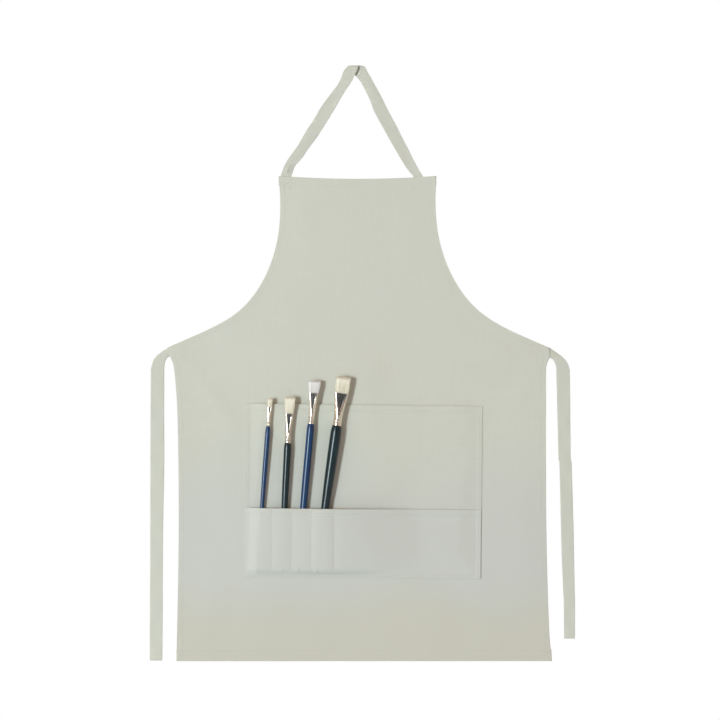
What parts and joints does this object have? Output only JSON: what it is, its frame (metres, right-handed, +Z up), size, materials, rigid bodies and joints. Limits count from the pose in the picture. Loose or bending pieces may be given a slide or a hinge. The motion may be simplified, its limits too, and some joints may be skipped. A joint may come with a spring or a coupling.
{
  "type": "artist apron",
  "caption": "natural canvas bib apron hanging by its neck loop, with side ties, a wide front pocket and flat brushes standing in the sleeves of the pocket's lower tier",
  "frame": {"origin": "the inside top of the neck loop, where it rests on a hook", "axes": "+Z up along the hanging apron, the front faces -Y, +X to the right seen from the front"},
  "size_m": [0.797, 0.0327, 1.1112],
  "materials": {
    "canvas": "unbleached cotton canvas, plain weave",
    "tape": "folded strip of the same unbleached canvas",
    "thread": "natural cotton sewing thread",
    "blue_lacquer": "gloss royal blue lacquer over wood",
    "teal_lacquer": "gloss dark teal lacquer over wood",
    "ferrule_metal": "pale nickel-plated brass, polished and crimped",
    "bristle": "pale hog bristle"
  },
  "bodies": {
    "neck_strap": {"neck_strap": "tape"},
    "bib": {"bib_panel": "canvas", "bib_top_hem": "canvas", "armhole_hem_left": "canvas", "armhole_hem_right": "canvas", "strap_tab_left": "tape", "strap_tab_right": "tape", "tie_tab_left": "tape", "tie_tab_right": "tape"},
    "skirt": {"skirt_panel": "canvas", "side_hem_left": "canvas", "side_hem_right": "canvas", "bottom_hem": "canvas", "large_pocket": "canvas", "large_pocket_hem": "canvas", "brush_pocket": "canvas", "sleeve_1": "canvas", "sleeve_2": "canvas", "sleeve_3": "canvas", "sleeve_4": "canvas", "brush_pocket_hem": "canvas", "sleeve_bar_tacks": "thread"},
    "tie_shoulder_left": {"tie_shoulder_left": "tape"},
    "tie_left": {"tie_left": "tape", "tie_end_hem_left": "tape"},
    "tie_shoulder_right": {"tie_shoulder_right": "tape"},
    "tie_right": {"tie_right": "tape"},
    "brush_1": {"brush_1_handle": "blue_lacquer", "brush_1_ferrule": "ferrule_metal", "brush_1_bristles": "bristle"},
    "brush_2": {"brush_2_handle": "teal_lacquer", "brush_2_ferrule": "ferrule_metal", "brush_2_bristles": "bristle"},
    "brush_3": {"brush_3_handle": "blue_lacquer", "brush_3_ferrule": "ferrule_metal", "brush_3_bristles": "bristle"},
    "brush_4": {"brush_4_handle": "teal_lacquer", "brush_4_ferrule": "ferrule_metal", "brush_4_bristles": "bristle"}
  },
  "joints": [
    {"name": "neck_fold", "type": "hinge", "parent": "neck_strap", "child": "bib", "pos_m": [0, 0.0018, -0.205], "axis": [1, 0, 0], "range_deg": [-80, 20]},
    {"name": "waist_fold", "type": "hinge", "parent": "bib", "child": "skirt", "pos_m": [0.01, 0.0014, -0.56], "axis": [1, 0, 0], "range_deg": [-90, 160]},
    {"name": "tie_left_spread", "type": "hinge", "parent": "bib", "child": "tie_shoulder_left", "pos_m": [-0.33943, 0.0021, -0.532], "axis": [0, 1, 0], "range_deg": [0, 80]},
    {"name": "tie_left_swing", "type": "hinge", "parent": "tie_shoulder_left", "child": "tie_left", "pos_m": [-0.36918, 0.0021, -0.563], "axis": [1, 0, 0], "range_deg": [-45, 110]},
    {"name": "tie_right_spread", "type": "hinge", "parent": "bib", "child": "tie_shoulder_right", "pos_m": [0.35857, 0.0021, -0.532], "axis": [0, -1, 0], "range_deg": [0, 80]},
    {"name": "tie_right_swing", "type": "hinge", "parent": "tie_shoulder_right", "child": "tie_right", "pos_m": [0.38832, 0.0021, -0.563], "axis": [1, 0, 0], "range_deg": [-45, 110]},
    {"name": "brush_1_slide", "type": "slide", "parent": "skirt", "child": "brush_1", "axis": [0.0767, -0.0093, 0.997], "range_m": [0, 0.13]},
    {"name": "brush_2_slide", "type": "slide", "parent": "skirt", "child": "brush_2", "axis": [0.0523, -0.0171, 0.9985], "range_m": [0, 0.13]},
    {"name": "brush_3_slide", "type": "slide", "parent": "skirt", "child": "brush_3", "axis": [0.0898, -0.0143, 0.9959], "range_m": [0, 0.13]},
    {"name": "brush_4_slide", "type": "slide", "parent": "skirt", "child": "brush_4", "axis": [0.1426, -0.0248, 0.9895], "range_m": [0, 0.13]}
  ]
}
